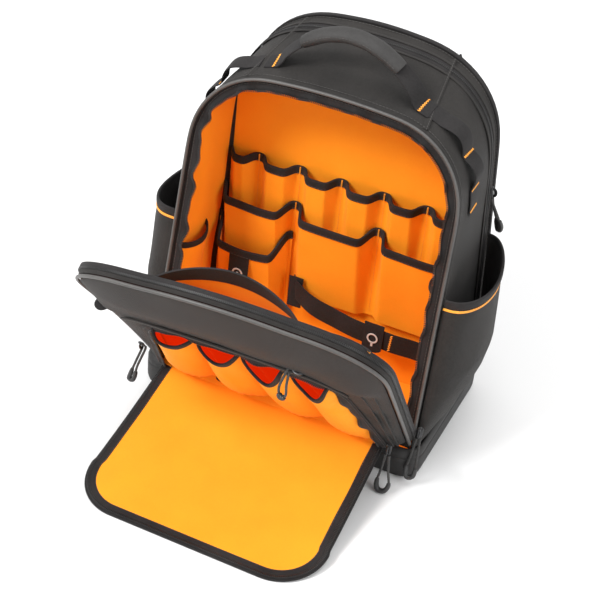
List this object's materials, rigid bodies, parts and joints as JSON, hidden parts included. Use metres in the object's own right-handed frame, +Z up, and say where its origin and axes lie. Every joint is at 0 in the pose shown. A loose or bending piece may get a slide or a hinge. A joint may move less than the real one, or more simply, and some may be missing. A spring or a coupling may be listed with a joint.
{
  "type": "tool backpack",
  "caption": "Upright tool backpack standing open: arched shell on a rubber base, stitched inner pockets, a lid leaning forward and its pocket flap on the floor.",
  "frame": {"origin": "centre of the rubber base at the floor", "axes": "+X to the right seen from the front, +Y towards the shoulder straps, +Z up; the lid and flap open towards -Y"},
  "size_m": [0.4405, 0.5071, 0.4908],
  "materials": {
    "outer_fabric": "coarse dark grey polyester",
    "orange_lining": "plain orange nylon",
    "black_binding": "woven black tape",
    "grey_piping": "smooth grey vinyl",
    "rubber_base": "matt moulded rubber",
    "back_mesh": "padded air mesh",
    "slider_metal": "black lacquer",
    "pull_cord": "braided cord"
  },
  "bodies": {
    "root": {"base_boot": "rubber_base", "front_sill": "outer_fabric", "body_shell": "outer_fabric", "shell_lining": "orange_lining", "divider_wall": "orange_lining", "back_panel": "outer_fabric", "back_pad": "back_mesh", "opening_piping": "grey_piping", "opening_zip_tape": "black_binding", "rear_zip_track": "black_binding", "handle_grip": "outer_fabric", "pencil_pockets": "orange_lining", "pencil_pockets_binding": "black_binding", "middle_pockets": "orange_lining", "middle_pockets_binding": "black_binding", "lower_pocket": "orange_lining", "lower_pocket_binding": "black_binding", "wall_pocket_left": "orange_lining", "wall_pocket_right": "orange_lining", "tool_strap": "black_binding", "strap_tab": "black_binding", "tape_tab": "black_binding", "lid_lining": "orange_lining", "lid_panel": "outer_fabric", "lid_gusset": "outer_fabric", "lid_piping": "grey_piping", "pocket_back_wall": "orange_lining", "lid_front_face": "outer_fabric", "lid_inner_pocket_left": "orange_lining", "lid_inner_pocket_right": "orange_lining", "lid_inner_pocket_band": "black_binding", "pocket_walls": "outer_fabric", "tool_pouch_1": "orange_lining", "tool_pouch_2": "orange_lining", "tool_pouch_3": "orange_lining", "tool_pouch_4": "orange_lining", "flap_shell": "outer_fabric", "flap_lining": "orange_lining", "flap_binding": "black_binding", "strap_yoke": "outer_fabric", "handle_webbing_left": "black_binding", "gear_webbing_left": "black_binding", "side_pocket_left": "outer_fabric", "shoulder_strap_left": "back_mesh", "strap_webbing_left": "black_binding", "handle_webbing_right": "black_binding", "gear_webbing_right": "black_binding", "side_pocket_right": "outer_fabric", "shoulder_strap_right": "back_mesh", "strap_webbing_right": "black_binding", "zip_slider_flap_left": "slider_metal", "pull_cord_flap_left": "pull_cord", "zip_slider_flap_right": "slider_metal", "pull_cord_flap_right": "pull_cord", "zip_slider_main_right": "slider_metal", "pull_cord_main_right": "pull_cord", "zip_slider_pocket_top": "slider_metal", "pull_cord_pocket_top": "pull_cord", "zip_slider_rear_right": "slider_metal", "pull_cord_rear_right": "pull_cord"}
  },
  "joints": []
}
